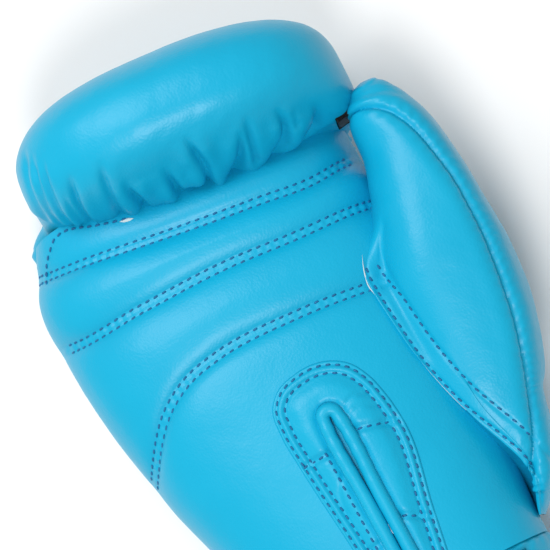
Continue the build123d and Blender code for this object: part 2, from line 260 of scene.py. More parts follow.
turns = np.linspace(np.pi + 0.12, -0.12, 230)
alongs = np.linspace(-103, 108, 270)
U, V = np.meshgrid(turns, alongs, indexing="ij")
base = hand_skin(U, V)
step_u = hand_skin(U + 0.01, V) - hand_skin(U - 0.01, V)
step_v = hand_skin(U, V + 0.5) - hand_skin(U, V - 0.5)
out = np.cross(step_v, step_u)
out /= np.linalg.norm(out, axis=-1, keepdims=True) + 1e-9
swell = palm_swell(base[..., 0], base[..., 1], U)
# The panel's own edge: it turns in round the sides.
edge = np.minimum(np.abs(U - turns[0]), np.abs(U - turns[-1])) * 55
swell -= 3.0 * np.exp(-((edge / 2.5) ** 2))
palm = sheet_mesh("palm_panel", base + out * swell[..., None])


def node(tree, kind, place=(0, 0), **values):
    made = tree.nodes.new(kind)
    made.location = place
    for key, value in values.items():
        if hasattr(made, key):
            setattr(made, key, value)
        else:
            made.inputs[key.replace("_", " ")].default_value = value
    return made


def make_grain():
    """Fine pebbled leather: Height for a bump, and a slow Patch value for colour and gloss."""
    group = bpy.data.node_groups.new("leather_grain", "ShaderNodeTree")
    face = group.interface
    face.new_socket("Pebble Scale", in_out="INPUT", socket_type="NodeSocketFloat").default_value = 950
    face.new_socket("Wrinkle Scale", in_out="INPUT", socket_type="NodeSocketFloat").default_value = 60
    face.new_socket("Height", in_out="OUTPUT", socket_type="NodeSocketFloat")
    face.new_socket("Patch", in_out="OUTPUT", socket_type="NodeSocketFloat")
    come, leave = node(group, "NodeGroupInput", (-900, 0)), node(group, "NodeGroupOutput", (500, 0))
    place = node(group, "ShaderNodeTexCoord", (-900, -300))
    pebble = node(group, "ShaderNodeTexVoronoi", (-500, 200), feature="SMOOTH_F1")
    pebble.inputs["Smoothness"].default_value = 0.6
    fine = node(group, "ShaderNodeTexNoise", (-500, -100))
    fine.inputs["Detail"].default_value = 4
    slow = node(group, "ShaderNodeTexNoise", (-500, -400), Scale=22.0)
    slow.inputs["Detail"].default_value = 3
    add = node(group, "ShaderNodeMath", (-100, 100), operation="MULTIPLY_ADD")
    add.inputs[1].default_value = 0.55
    link = group.links.new
    for texture in (pebble, fine, slow):
        link(place.outputs["Object"], texture.inputs["Vector"])
    link(come.outputs["Pebble Scale"], pebble.inputs["Scale"])
    link(come.outputs["Wrinkle Scale"], fine.inputs["Scale"])
    link(pebble.outputs["Distance"], add.inputs[0])
    link(fine.outputs["Fac"], add.inputs[2])
    link(add.outputs[0], leave.inputs["Height"])
    link(slow.outputs["Fac"], leave.inputs["Patch"])
    return group


leather_grain = make_grain()


def coated_leather(name, light, dark, roughness=0.38):
    """Semi-gloss coated leather with fine grain."""
    made = bpy.data.materials.new(name)
    made.use_nodes = True
    tree, link = made.node_tree, made.node_tree.links.new
    shader = tree.nodes["Principled BSDF"]
    shader.inputs["Specular IOR Level"].default_value = 0.28
    shader.inputs["Coat Weight"].default_value = 0.06
    shader.inputs["Coat Roughness"].default_value = 0.22
    grain = node(tree, "ShaderNodeGroup", (-700, 0))
    grain.node_tree = leather_grain
    grain.inputs["Pebble Scale"].default_value = 950
    grain.inputs["Wrinkle Scale"].default_value = 260
    mix = node(tree, "ShaderNodeMix", (-300, 200), data_type="RGBA")
    mix.inputs["A"].default_value = (*dark, 1)
    mix.inputs["B"].default_value = (*light, 1)
    ramp = node(tree, "ShaderNodeMapRange", (-500, -100))
    ramp.inputs["To Min"].default_value = roughness - 0.05
    ramp.inputs["To Max"].default_value = roughness + 0.07
    rise = node(tree, "ShaderNodeBump", (-300, -250), Strength=0.20, Distance=0.0006)
    link(grain.outputs["Patch"], mix.inputs["Factor"])
    link(grain.outputs["Patch"], ramp.inputs["Value"])
    link(grain.outputs["Height"], rise.inputs["Height"])
    link(mix.outputs["Result"], shader.inputs["Base Color"])
    link(ramp.outputs["Result"], shader.inputs["Roughness"])
    link(rise.outputs["Normal"], shader.inputs["Normal"])
    return made


sky_leather = coated_leather("sky_blue_leather", (0.004, 0.410, 0.640), (0.002, 0.365, 0.590))
palm.data.materials.append(sky_leather)
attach(palm, "glove")
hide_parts("palm_cover", "finger_pad", "grip_bar", "centre_pad", "heel_pad", "palm_backing_foam")

# ---- Finger roll and back of the hand -----------------------------------------------------------
# One leather cover drawn over moulded foam: knuckles, finger roll and back. It is gathered into
# the seam where it meets the palm panel, so folds run up the roll from there.
ROLL_HALF, ROLL_DEEP, ROLL_TALL, ROLL_X, ROLL_Y, ROLL_YAW = 73.5, 31.0, 61.0, 1.5, 122.0, np.radians(-6.0)


def roll_skin(share, turn):
    """The roll's surface: share runs from end to end, turn runs round it."""
    full = np.maximum(0, 1 - np.abs(share) ** 2.6) ** (1 / 2.6)
    x = ROLL_HALF * share
    y = np.maximum(ROLL_DEEP * full, 0.01) * rounded(np.cos(turn), 2.4)
    z = ROLL_TALL + np.maximum(ROLL_TALL * full, 0.01) * rounded(np.sin(turn), 2.4)
    c, s = np.cos(ROLL_YAW), np.sin(ROLL_YAW)
    return np.stack([x * c - y * s + ROLL_X, x * s + y * c + ROLL_Y, z], -1)


shares = np.sin(np.linspace(-np.pi / 2, np.pi / 2, 70))
S, T = np.meshgrid(shares, np.linspace(0, 2 * np.pi, 90, endpoint=False), indexing="ij")
fist = sheet_mesh("fist_cover", roll_skin(S, T), closed_v=True)
U, V = np.meshgrid(np.linspace(0, 2 * np.pi, 120, endpoint=False), np.linspace(-104, 118, 90), indexing="xy")
under_panel = 13.0 * np.clip((np.sin(U) + 0.02) / 0.35, 0, 1)
core = hand_skin(U, V, under_panel)


POCKET_MIDDLE_Z, POCKET_ROUND, POCKET_ROOM = 43.5, 2.6, 0.6


def pocket_size(y):
    """Half width and half height of the hand's pocket, which flattens towards the fingers."""
    t = np.clip((y + 100) / 100, 0, 1)
    t = t * t * (3 - 2 * t)
    return 42 + 6 * t, 27.5 - 13.5 * t


# The foam is hollow: at the wrist its skin turns in and runs round the hand's pocket.
hollow = []
for y in np.linspace(84, -104, 70):
    across, tall = pocket_size(y)
    x = (across + POCKET_ROOM) * rounded(np.cos(U[0]), POCKET_ROUND)
    z = POCKET_MIDDLE_Z + (tall + POCKET_ROOM) * rounded(np.sin(U[0]), POCKET_ROUND)
    hollow.append(np.stack([x, np.full(len(x), y), z], -1))
hollow = np.array(hollow)
middle = hollow[0].mean(0)
bottom = np.array([middle + (hollow[0] - middle) * k for k in (0.001, 0.33, 0.66)])
middle = core[-1].mean(0)
top = np.array([middle + (core[-1] - middle) * k for k in (0.66, 0.33, 0.001)])
core = np.concatenate([bottom, hollow, (hollow[-1:] + core[:1]) / 2, core, top])
back = sheet_mesh("back", core, closed_v=True)
bpy.ops.object.select_all(action="DESELECT")
back.select_set(True)
fist.select_set(True)
bpy.context.view_layer.objects.active = fist
bpy.ops.object.join()
remesh = fist.modifiers.new("one_skin", "REMESH")
remesh.mode, remesh.voxel_size, remesh.use_smooth_shade = "VOXEL", 0.0011, True
bpy.ops.object.modifier_apply(modifier="one_skin")

# Folds, as lines seen from above the palm: x and the height up the roll read as y.
FOLDS = [
    (1.1, 1.3, [(-72.1, 128), (-73.9, 116.3), (-73.7, 104.7)]),
    (1.4, 1.4, [(-60.7, 142.3), (-65.5, 128.4), (-66.9, 116.4), (-64.9, 105.8)]),
    (1.3, 1.2, [(-58.5, 138), (-61.3, 126.1), (-63.2, 112.5), (-61.2, 104.4)]),
    (1.5, 1.3, [(-55.1, 133), (-58.7, 122.2), (-59.2, 111.6), (-57.7, 103.1)]),
    (1.3, 1.3, [(-53.5, 118.8), (-54.7, 110.5), (-54.2, 102.2)]),
    (2.0, 1.5, [(-48.7, 121.9), (-50.9, 112.9), (-51.7, 103.1), (-50.9, 98)]),
    (1.4, 1.6, [(-34.1, 120.5), (-36.3, 114), (-37.5, 107), (-38.4, 100.5), (-38.3, 95)]),
    (2.6, 1.6, [(-29.4, 109.1), (-30.3, 105.1), (-28.7, 98.5), (-26.9, 92.4), (-21.9, 91), (-16.4, 90.7)]),
    (3.2, 1.7, [(-13, 105.4), (-12.9, 99.6), (-11.3, 93), (-6.8, 91.9), (-0.6, 90.5)]),
    (2.6, 1.6, [(0.8, 112), (1.5, 103.5), (2.2, 95.7), (0, 90.5)]),
    (2.8, 1.7, [(22, 104.5), (19.9, 98.3), (15.9, 92.6), (10.6, 89.3)]),
    (1.9, 1.5, [(26.8, 107.9), (24.9, 99.8), (22.6, 92)]),
    (2.8, 1.7, [(39.2, 105), (39.7, 96.8), (37.7, 93), (32.3, 89.8), (25.8, 87)]),
    (2.8, 1.7, [(53.9, 100.7), (53.5, 95.5), (51, 92), (45.2, 89), (37.5, 86)]),
    (1.0, 1.4, [(46.8, 103.3), (44, 95.7)]),
    (1.0, 1.4, [(65.8, 100.4), (64.8, 95.5)]),
]


def verts_of(piece):
    co = np.zeros(len(piece.data.vertices) * 3, np.float32)
    piece.data.vertices.foreach_get("co", co)
    normal = np.zeros(len(co), np.float32)
    piece.data.vertices.foreach_get("normal", normal)
    return (co.reshape(-1, 3).astype(float) - ORIGIN) * 1000, normal.reshape(-1, 3).astype(float)


def put_verts(piece, points):
    piece.data.vertices.foreach_set("co", metres(points).astype(np.float32).ravel())
    piece.data.update()


def relax(piece, weight, factor, times):
    """Eases a surface where its weight is high."""
    co, _ = verts_of(piece)
    edges = np.zeros(len(piece.data.edges) * 2, np.int64)
    piece.data.edges.foreach_get("vertices", edges)
    a, b = edges.reshape(-1, 2).T
    count = np.bincount(np.concatenate([a, b]), minlength=len(co))[:, None]
    for _ in range(times):
        total = np.zeros_like(co)
        for axis in range(3):
            total[:, axis] = np.bincount(a, co[b, axis], len(co)) + np.bincount(b, co[a, axis], len(co))
        co += (total / np.maximum(count, 1) - co) * (factor * weight)[:, None]
    put_verts(piece, co)


co, normal = verts_of(fist)
valley = np.exp(-(((co[:, 1] - 92) / 26) ** 2)) * np.clip((62 - co[:, 2]) / 30, 0, 1)
valley += 0.25 * np.clip((40 - co[:, 2]) / 20, 0, 1)
relax(fist, np.clip(valley, 0, 1), 0.6, 100)
relax(fist, np.ones(len(co)), 0.5, 3)
co, normal = verts_of(fist)
seen_y = co[:, 1] + (co[:, 2] - 80) * np.tan(TILT)
facing = np.clip((normal[:, 2] * np.cos(TILT) - normal[:, 1] * np.sin(TILT)) * 3 + 0.4, 0, 1)
facing *= np.clip((co[:, 2] - 70) / 6, 0, 1) * np.clip((co[:, 1] - 78) / 4, 0, 1)
shift = np.zeros(len(co))
for deep, wide, line in FOLDS:
    line = bent(line, 2.0)
    gap, along = to_line(co[:, 0], seen_y, line)
    length = np.hypot(*np.diff(line, axis=0).T).sum()
    strength = np.clip(along / 9, 0, 1) ** 1.3
    strength *= np.exp(-((np.maximum(np.abs(gap) - 30, 0)) ** 2))
    shift -= deep * strength * np.exp(-((gap / (0.85 * wide)) ** 2))
    # The leather swells on the thumb side of each fold before it drops into it.
    shift += 0.45 * deep * strength * np.exp(-(((np.abs(gap) - 4.2) / 3.2) ** 2))
shift = np.maximum(1.25 * shift, -4.2)
shift += 0.5 * soft_noise(co[:, 0], seen_y, 60, 5)
# Small gathers along the side seams.
side = np.exp(-(((co[:, 2] - 38) / 9) ** 2)) * (co[:, 1] > -90) * (co[:, 1] < 112)
ripple = np.sin(co[:, 1] * 1.05 + 2 * soft_noise(co[:, 1], co[:, 2], 40, 9))
sideways = np.abs(normal[:, 0]) ** 2
shift_side = 0.55 * side * ripple * sideways * np.clip((co[:, 1] + 10) / 60, 0.25, 1)
co += normal * (shift * facing + shift_side)[:, None]
# The leather runs on down the little-finger side, and the roll is fuller at its thumb end.
fill = 5.0 * np.exp(-(((co[:, 1] - 110) / 8.0) ** 2) - ((co[:, 2] - 46) / 26) ** 2)
fill *= np.clip((-50 - co[:, 0]) / 14, 0, 1)
fill *= np.clip((co[:, 1] - 97) / 7, 0, 1)
co[:, 0] -= fill
far = ((co[:, 0] - 67) / 12) ** 2 + ((co[:, 1] - 95) / 12) ** 2 + ((co[:, 2] - 66) / 34) ** 2
fuller = 9.0 * np.exp(-far)
co += fuller[:, None] * np.array((0.55, -0.83, 0.0))
put_verts(fist, co)
relax(fist, np.clip(np.abs(shift) * facing, 0, 1), 0.25, 1)
fist.data.materials.append(sky_leather)
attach(fist, "glove")
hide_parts("back_cover", "fist_foam")

# ---- Thumb ------------------------------------------------------------------------------------
# A padded thumb in two leather panels. The inner panel is lapped flat onto the palm and sewn
# down with two rows; the outer panel meets it in a turned seam with small gathers.

# Middle x, y, z, half width, half depth along the thumb.
THUMB = np.array([
    (56.5, -95, 44, 2.5, 14), (62, -84, 45, 7, 22), (64, -72, 47, 12.5, 26), (61.5, -45, 50, 24.5, 30),
    (69, -10, 55, 29, 31), (73, 22, 60, 28.5, 30), (78.6, 52, 66, 21.4, 25), (80.0, 70, 70, 17.3, 20),
    (78.6, 82, 73, 14.6, 15.5), (77.4, 90, 74.5, 11.6, 11.5), (77.0, 95.8, 75, 7.8, 7.5),
    (77.0, 98.6, 75, 3.4, 3.2),
    (77.0, 99.2, 75, 0.05, 0.05),
], float)
# Edge of the lapped flap: y against x.
FLAP_EDGE = np.array([
    (-110, 55), (-95, 56), (-84, 60), (-72, 59.5), (-64, 56.5), (-40, 47), (-18, 42), (0, 40), (17, 39),
    (27, 39.4), (35, 42.5), (42, 50),
], float)
THUMB_SEAM = np.array([
    (-110, 50), (-69, 73.8), (-48.6, 82.4), (-35, 85.8), (-21.3, 88.7), (-9.3, 90), (5.3, 91.4), (16.3, 92.2),
    (27.8, 92), (40.9, 91.3), (53.1, 89.2), (65.2, 86.5), (74.8, 82.7), (81.5, 78.6), (86, 73.5), (88.5, 69),
    (92, 58), (110, 20),
], float)

run = np.concatenate([[0], np.cumsum(np.linalg.norm(np.diff(THUMB[:, :3], axis=0), axis=1))])
track = np.column_stack([run, THUMB])
at = np.linspace(0, 1, 210)
at = run[-1] * (1 - (1 - at) ** 1.25)
line = eased(track, at)
centre, size = line[:, :3], np.maximum(line[:, 3:], 0.02)
ahead_of = np.gradient(centre, axis=0)
ahead_of[-30:] = ahead_of[-31]
ahead_of /= np.linalg.norm(ahead_of, axis=1, keepdims=True)
across = np.stack([ahead_of[:, 1], -ahead_of[:, 0], 0 * ahead_of[:, 0]], -1)
across /= np.linalg.norm(across, axis=1, keepdims=True)
upward = np.cross(across, ahead_of)
turns = np.linspace(0, 2 * np.pi, 220, endpoint=False)
a, b = rounded(np.cos(turns), 2.2), rounded(np.sin(turns), 2.2)
thumb_grid = (
    centre[:, None] + across[:, None] * (size[:, :1] * a)[..., None]
    + upward[:, None] * (size[:, 1:] * b)[..., None]
)


def soft_max(a, b, reach):
    return 0.5 * (a + b + np.sqrt((a - b) ** 2 + reach**2))


# Draw the inner side out to the flap's edge, where it lies flat on the palm.
X, Y = np.moveaxis(thumb_grid, -1, 0)[:2]
flap_x = eased(FLAP_EDGE, Y)[..., 0]
crown = int(round(0.25 * len(turns)))
lip, root = int(round(0.46 * len(turns))), int(round(0.54 * len(turns)))
lapped = np.clip((46 - Y) / 18, 0, 1)
lapped = lapped * lapped * (3 - 2 * lapped)
new = thumb_grid.copy()
share = (np.arange(crown, lip + 1) - crown) / (lip - crown)
x = X[:, crown][:, None] + (flap_x[:, crown][:, None] - X[:, crown][:, None]) * share**0.92
y = Y[:, crown][:, None] + (Y[:, crown : lip + 1] - Y[:, crown][:, None]) * 0.3
palm_z = palm_at(np.clip(x, -60, 62), y)[0][..., 2] + 1.7
reach = np.clip(np.abs(x - centre[:, :1]) / size[:, :1], 0, 1)
own_z = centre[:, 2:] + size[:, 1:] * (1 - reach**2.2) ** (1 / 2.2)
new[:, crown : lip + 1] = np.stack([x, y, soft_max(np.where(reach < 1, own_z, -50), palm_z, 4.0)], -1)
begin = np.clip((np.arange(crown, lip + 1) - crown) / 22, 0, 1)[None, :, None]
begin = begin * begin * (3 - 2 * begin)
new[:, crown : lip + 1] = thumb_grid[:, crown : lip + 1] * (1 - begin) + new[:, crown : lip + 1] * begin
for k in range(lip + 1, root + 1):
    sink = (k - lip) / (root - lip)
    new[:, k] = new[:, lip] + (0.6 * sink, 0, -4.5 * sink)
thumb_grid = thumb_grid + (new - thumb_grid) * lapped[..., None]
step = np.arange(len(turns))[None, :]
under = (step > lip) & (step < root + 12) & (lapped > 0.02)
seam_x = eased(THUMB_SEAM, thumb_grid[..., 1])[..., 0] + (thumb_grid[..., 2] - 85) * 0.53
seam_gap = thumb_grid[..., 0] - seam_x
along_thumb = at[:, None] + 0 * seam_gap
normal_u = np.gradient(thumb_grid, axis=0)
normal_v = np.gradient(thumb_grid, axis=1)
out = np.cross(normal_v, normal_u)
out /= np.linalg.norm(out, axis=-1, keepdims=True) + 1e-9
if (out[100, 0] * across[100]).sum() < 0:
    out = -out
groove = -1.7 * np.exp(-((seam_gap / 1.6) ** 2))
puff = 1.1 * np.exp(-(((np.abs(seam_gap) - 7) / 6) ** 2))
uneven = 2.4 * soft_noise(along_thumb, seam_gap, 30, 4)
gather = 0.34 * np.exp(-(((seam_gap - 3.4) / 3.2) ** 2)) * np.sin(along_thumb * 1.35 + uneven)
uneven = 2 * soft_noise(along_thumb, seam_gap, 26, 6)
gather += 0.18 * np.exp(-(((seam_gap + 3.0) / 2.4) ** 2)) * np.sin(along_thumb * 1.15 + uneven)
flap_gap = thumb_grid[..., 0] - eased(FLAP_EDGE, thumb_grid[..., 1])[..., 0]
rows = np.zeros_like(flap_gap)
for row in (1.9, 9.6):
    rows += np.exp(-(((flap_gap - row) / 0.9) ** 2))
rows *= lapped * (np.arange(len(turns)) <= lip)[None, :]
still = (size[:, 0] > 6)[:, None]
move = (groove + puff + gather) * still - 0.55 * rows + 0.4 * soft_noise(along_thumb, seam_gap, 55, 7) * still
thumb_grid = thumb_grid + out * np.where(under, 0, move)[..., None]
thumb = sheet_mesh("thumb_inner_panel", thumb_grid, closed_v=True)
bpy.ops.object.select_all(action="DESELECT")
bpy.context.view_layer.objects.active = thumb
thumb.select_set(True)
bpy.ops.object.mode_set(mode="EDIT")
bpy.ops.mesh.select_all(action="SELECT")
bpy.ops.mesh.remove_doubles(threshold=0.00002)
bpy.ops.mesh.normals_make_consistent(inside=False)
bpy.ops.mesh.select_all(action="DESELECT")
bpy.ops.object.mode_set(mode="OBJECT")
co, _ = verts_of(thumb)
outer_vert = co[:, 0] > eased(THUMB_SEAM, co[:, 1])[:, 0] + (co[:, 2] - 85) * 0.53
for polygon in thumb.data.polygons:
    polygon.select = bool(outer_vert[list(polygon.vertices)].mean() > 0.5)
bpy.ops.object.mode_set(mode="EDIT")
bpy.ops.mesh.separate(type="SELECTED")
bpy.ops.object.mode_set(mode="OBJECT")
thumb_outer = [o for o in bpy.context.selected_objects if o is not thumb][0]
thumb_outer.name = "thumb_outer_panel"
for piece in (thumb, thumb_outer):
    piece.data.materials.clear()
    piece.data.materials.append(sky_leather)
    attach(piece, "glove")
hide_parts("thumb_inner_cover", "thumb_foam")
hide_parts("thumb_outer_cover")

# ---- Wrist patch and its beading ----------------------------------------------------------------
# An arched, thinly padded leather patch is sewn round the wrist slit with two rows. The slit's
# edges are bound with two fat leather beads that meet in a hairpin at its top.
PATCH_LINE = bent([
    (-17, -103), (-19.5, -70), (-22.5, -35), (-23.2, -19), (-21.5, -8), (-15.5, -1.6), (-6, 1.2), (2, 1.4),
    (10, -1), (16.5, -6), (20.4, -13), (23.2, -24), (24.5, -38), (18, -75), (13, -103),
], 1.5)
BEAD_X, BEAD_TOP, BEAD_RADIUS = -1.5, -22.0, 3.0
PATCH_ROWS = (1.9, 5.4)
CROSS_LINES = [
    np.array([(-22, -35), (-8, -35)], float), np.array([(4, -31), (23, -36)], float),
    np.array([(4.5, -71), (17, -78)], float), np.array([(-19, -79), (-8, -77.5)], float),
]
PATCH_WRINKLES = [
    (0.7, 1.1, np.array([(5, -21), (11, -18.5), (17, -20)], float)),
    (0.5, 1.0, np.array([(6, -25), (12, -24), (18, -27)], float)),
    (0.5, 1.2, np.array([(-8, -45), (-13, -52), (-14, -60)], float)),
]


def hairpin(half, step=1.5):
    """Line round the slit's top at a distance from its middle."""
    arc = np.linspace(np.pi, 0, 13)
    arch = np.stack([BEAD_X + half * np.cos(arc), BEAD_TOP + half * np.sin(arc)], -1)
    left, right = BEAD_X - half, BEAD_X + half
    return bent([(left, -103), (left, -60), *arch, (right, -60), (right, -103)], step)


def respaced(line, count):
    run = np.concatenate([[0], np.cumsum(np.linalg.norm(np.diff(line, axis=0), axis=1))])
    at = np.linspace(0, run[-1], count)
    return np.stack([np.interp(at, run, line[:, k]) for k in range(line.shape[1])], -1)


outer_line, inner_line = respaced(PATCH_LINE, 260), respaced(hairpin(5.6), 260)
share = np.concatenate([[0, 0.012], np.linspace(0.03, 1, 44)])
flat = outer_line[:, None] + (inner_line - outer_line)[:, None] * share[None, :, None]
x, y = flat[..., 0], flat[..., 1]
from_edge = np.abs(to_line(x, y, PATCH_LINE)[0])
from_bead = np.abs(to_line(x, y, inner_line[::4])[0])
lift = 1.5 * np.sqrt(np.clip(from_edge / 1.0, 0, 1)) - 0.3
for row in PATCH_ROWS:
    lift -= 0.55 * np.exp(-(((from_edge - row) / 0.8) ** 2))
lift += 0.5 * np.exp(-(((from_edge - 3.6) / 1.2) ** 2))
lift += 2.1 * (1 - np.exp(-((np.maximum(from_edge - 5.4, 0) / 4.0) ** 2)))
lift -= 1.2 * np.exp(-((from_bead / 1.8) ** 2))
for line in CROSS_LINES:
    lift -= 1.5 * np.exp(-((to_line(x, y, line)[0] / 1.8) ** 2)) * np.clip(from_edge / 3, 0, 1)
for deep, wide, line in PATCH_WRINKLES:
    lift -= deep * np.exp(-((to_line(x, y, bent(line, 1.5))[0] / wide) ** 2))
lift += 0.25 * soft_noise(x, y, 26, 11) * np.clip(from_edge / 6, 0, 1)
grid, _ = palm_at(x, y, lift)
rim, _ = palm_at(x[:, :1], y[:, :1], -1.2)
patch = sheet_mesh("wrist_patch", np.concatenate([rim, grid], axis=1))
patch.data.flip_normals()
patch.data.materials.append(sky_leather)
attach(patch, "glove")
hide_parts("slit_patch", "slit_pads")

route = respaced(hairpin(3.05, 1.0), 330)
ahead_of = np.gradient(route, axis=0)
ahead_of /= np.linalg.norm(ahead_of, axis=1, keepdims=True)
around = np.linspace(0, 2 * np.pi, 28, endpoint=False)
floor_point, _ = palm_at(route[:, 0], route[:, 1], BEAD_RADIUS - 0.4)
plump = BEAD_RADIUS + 0.16 * soft_noise(route[:, 1], route[:, 0] * 3, 24, 13)
plump *= 1 + 0.05 * np.sin(route[:, 1] * 0.9) * np.clip((route[:, 1] + 60) / 30, 0, 1)
ring = np.stack([
    route[:, :1] + ahead_of[:, 1:] * plump[:, None] * np.cos(around),
    route[:, 1:] - ahead_of[:, :1] * plump[:, None] * np.cos(around),
    floor_point[:, 2:] + 1.06 * plump[:, None] * np.sin(around),
], -1)
beads = sheet_mesh("slit_beads", ring, closed_v=True)


def close_ends(piece):
    """Caps the open ends of a tube and turns its faces outwards."""
    bpy.ops.object.select_all(action="DESELECT")
    bpy.context.view_layer.objects.active = piece
    piece.select_set(True)
    bpy.ops.object.mode_set(mode="EDIT")
    bpy.ops.mesh.select_mode(type="VERT")
    bpy.ops.mesh.select_all(action="DESELECT")
    bpy.ops.mesh.select_non_manifold()
    bpy.ops.mesh.fill_holes(sides=0)
    bpy.ops.mesh.select_all(action="SELECT")
    bpy.ops.mesh.normals_make_consistent(inside=False)
    bpy.ops.object.mode_set(mode="OBJECT")


close_ends(beads)
beads.data.materials.append(sky_leather)
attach(beads, "glove")
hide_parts("slit_piping")

# ---- Stitching --------------------------------------------------------------------------------
# Bonded teal thread. One stitch is modelled and laid along every sewn row, each a little apart
# from the next and sunk at both ends where it goes through the leather.
bpy.ops.object.select_all(action="DESELECT")
bpy.ops.mesh.primitive_cylinder_add(vertices=8, radius=0.00047, depth=0.0014, rotation=(0, np.pi / 2, 0))
stitch = bpy.context.object
bpy.ops.object.transform_apply(location=False, rotation=True, scale=False)
for end in (-1, 1):
    bpy.ops.object.mode_set(mode="EDIT")
    bpy.ops.mesh.select_mode(type="FACE")
    bpy.ops.mesh.select_all(action="DESELECT")
    bpy.ops.object.mode_set(mode="OBJECT")
    for polygon in stitch.data.polygons:
        polygon.select = polygon.normal.x * end > 0.9
    bpy.ops.object.mode_set(mode="EDIT")
    bpy.ops.mesh.extrude_region_move(TRANSFORM_OT_translate={"value": (end * 0.0004, 0, -0.00016)})
    bpy.ops.transform.resize(value=(1, 0.45, 0.45))
bpy.ops.object.mode_set(mode="OBJECT")
STITCH_POINTS = np.array([v.co for v in stitch.data.vertices]) * 1000
STITCH_FACES = [list(p.vertices) for p in stitch.data.polygons]
bpy.data.objects.remove(stitch)


def point_along(run, values, at):
    """A point or direction at a distance along a row."""
    return np.array([np.interp(at, run, values[:, k]) for k in range(3)])


def sew(name, rows, thread, body="glove"):
    """Lays stitches along rows of (points, outward directions) in millimetres."""
    points, faces = [], []
    for line, out in rows:
        run = np.concatenate([[0], np.cumsum(np.linalg.norm(np.diff(line, axis=0), axis=1))])
        for at in np.arange(PITCH / 2, run[-1] - PITCH / 2, PITCH):
            here = point_along(run, line, at)
            ahead = point_along(run, line, at + 1) - point_along(run, line, at - 1)
            up = point_along(run, out, at)
            ahead /= np.linalg.norm(ahead)
            side = np.cross(up, ahead)
            side /= np.linalg.norm(side)
            ahead = ahead + 0.16 * side
            ahead /= np.linalg.norm(ahead)
            side = np.cross(up, ahead)
            side /= np.linalg.norm(side)
            base = sum(map(len, points))
            points.append(here + STITCH_POINTS @ np.stack([ahead, side, np.cross(ahead, side)]))
            faces += [[base + i for i in face] for face in STITCH_FACES]
    mesh = bpy.data.meshes.new(name)
    mesh.from_pydata(metres(np.concatenate(points)).tolist(), [], faces)
    mesh.polygons.foreach_set("use_smooth", [True] * len(faces))
    sewn = bpy.data.objects.new(name, mesh)
    bpy.context.scene.collection.objects.link(sewn)
    mesh.materials.append(thread)
    if body:
        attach(sewn, body)
    return sewn


def make_thread(name, colour):
    made = bpy.data.materials.new(name)
    made.use_nodes = True
    tree, link = made.node_tree, made.node_tree.links.new
    shader = tree.nodes["Principled BSDF"]
    place = node(tree, "ShaderNodeTexCoord", (-900, 0))
    twist = node(tree, "ShaderNodeTexWave", (-700, 0), Scale=900.0)
    twist.bands_direction = "DIAGONAL"
    uneven = node(tree, "ShaderNodeTexNoise", (-700, 300), Scale=180.0)
    mix = node(tree, "ShaderNodeMix", (-300, 200), data_type="RGBA")
    mix.inputs["A"].default_value = (*[c * 0.75 for c in colour], 1)
    mix.inputs["B"].default_value = (*[c * 1.35 for c in colour], 1)
    rise = node(tree, "ShaderNodeBump", (-300, -200), Strength=0.5, Distance=0.0002)
    for texture in (twist, uneven):
        link(place.outputs["Object"], texture.inputs["Vector"])
    link(uneven.outputs["Fac"], mix.inputs["Factor"])
    link(twist.outputs["Fac"], rise.inputs["Height"])
    link(mix.outputs["Result"], shader.inputs["Base Color"])
    link(rise.outputs["Normal"], shader.inputs["Normal"])
    shader.inputs["Roughness"].default_value = 0.5
    return made


def dropped(line, *pieces, lift=0.12):
    """Where a plan line lands on the topmost of some pieces, and the way out of them."""
    trees = []
    for piece in pieces:
        corners = [v.co for v in piece.data.vertices]
        trees.append(BVHTree.FromPolygons(corners, [face.vertices for face in piece.data.polygons]))
    points, outs = [], []
    for x, y in line:
        start = Vector(metres((x, y, 200)))
        hits = [tree.ray_cast(start, Vector((0, 0, -1))) for tree in trees]
        hits = [h for h in hits if h[0] is not None]
        if not hits:
            continue
        place, out = max(hits, key=lambda h: h[0].z)[:2]
        out = out if out.z > 0 else -out
        points.append((np.array(place) - ORIGIN) * 1000 + np.array(out) * lift)
        outs.append(out)
    outs = np.array(outs)
    if len(outs) > 4:
        for _ in range(3):
            outs[1:-1] = (outs[:-2] + 2 * outs[1:-1] + outs[2:]) / 4
    return np.array(points), outs


def beside(line, gap):
    """The same plan line moved sideways."""
    ahead = np.gradient(line, axis=0)
    ahead /= np.linalg.norm(ahead, axis=1, keepdims=True)
    return line + gap * np.stack([-ahead[:, 1], ahead[:, 0]], -1)


teal_thread = make_thread("teal_thread", (0.003, 0.125, 0.30))
rows = []
for line in SEAMS:
    fine = respaced(line, 240)
    for gap in (-SEAM_ROWS, SEAM_ROWS):
        side_line = beside(fine, gap)
        side_line = side_line[(side_line[:, 0] > -87.5) & (side_line[:, 0] < 60) & (side_line[:, 1] > -101)]
        mid, half = np.moveaxis(eased(HAND, side_line[:, 1]), -1, 0)[:2]
        side_line = side_line[np.abs(side_line[:, 0] - mid) < half - 0.6]
        rows.append(palm_at(side_line[:, 0], side_line[:, 1], 0.12))
sew("palm_stitches", rows, teal_thread)
rows = [dropped(beside(respaced(PATCH_LINE, 200), -gap), patch) for gap in PATCH_ROWS]
rows += [dropped(respaced(line, 16), patch) for line in CROSS_LINES]
rows.append(dropped(respaced(np.array([(-10.2, -100), (-10.2, -30)]), 40), patch))
sew("patch_stitches", rows, teal_thread)
flap = bent(FLAP_EDGE[:, ::-1], 2.0)
flap = flap[(flap[:, 1] > -80) & (flap[:, 1] < 34)]
narrow = 9.6 - 3.4 * np.clip((flap[:, 1] - 8) / 24, 0, 1) - 5.0 * np.clip((-66 - flap[:, 1]) / 30, 0, 1)
inner_row = flap + (beside(flap, -1.0) - flap) * narrow[:, None]
rows = [dropped(beside(flap, -1.9), thumb), dropped(inner_row, thumb)]
